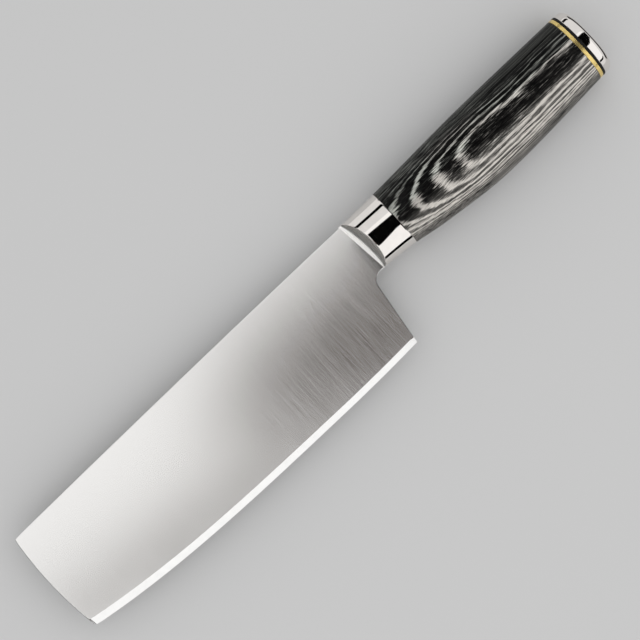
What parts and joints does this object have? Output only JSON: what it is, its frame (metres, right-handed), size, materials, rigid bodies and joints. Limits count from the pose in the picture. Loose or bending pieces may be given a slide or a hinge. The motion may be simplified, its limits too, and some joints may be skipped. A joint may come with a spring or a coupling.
{
  "type": "nakiri knife",
  "caption": "Flat-edged vegetable knife with a tall satin steel blade, a forked steel bolster and a capped laminated wood handle on a hidden tang.",
  "frame": {"origin": "middle of the bounding box in the plane that the handle's side rests on, with the blade level above it", "axes": "+X from the front of the blade to the butt, +Y towards the spine, +Z out of the left cheek, up"},
  "size_m": [0.307, 0.0582, 0.0242],
  "materials": {
    "blade_steel": "satin ground from spine to edge, edge bevel polished",
    "bolster_steel": "mirror-polished stainless steel, satin in the scoops",
    "grip_wood": "black and grey laminated, resin-filled wood, semi-gloss",
    "ring_brass": "polished",
    "liner_fibre": "black vulcanised fibre",
    "cap_steel": "mirror-polished stainless steel",
    "rod_steel": "plain drawn rod",
    "bedding_glue": "cured glue",
    "zinc_steel": "zinc plated"
  },
  "bodies": {
    "root": {"blade": "blade_steel", "bolster": "bolster_steel", "grip": "grip_wood", "spacer_ring": "ring_brass", "fibre_liner": "liner_fibre", "end_cap": "cap_steel", "tang_rod": "rod_steel", "tang_bedding": "bedding_glue", "tang_washer": "zinc_steel", "tang_nut": "zinc_steel"}
  },
  "joints": []
}
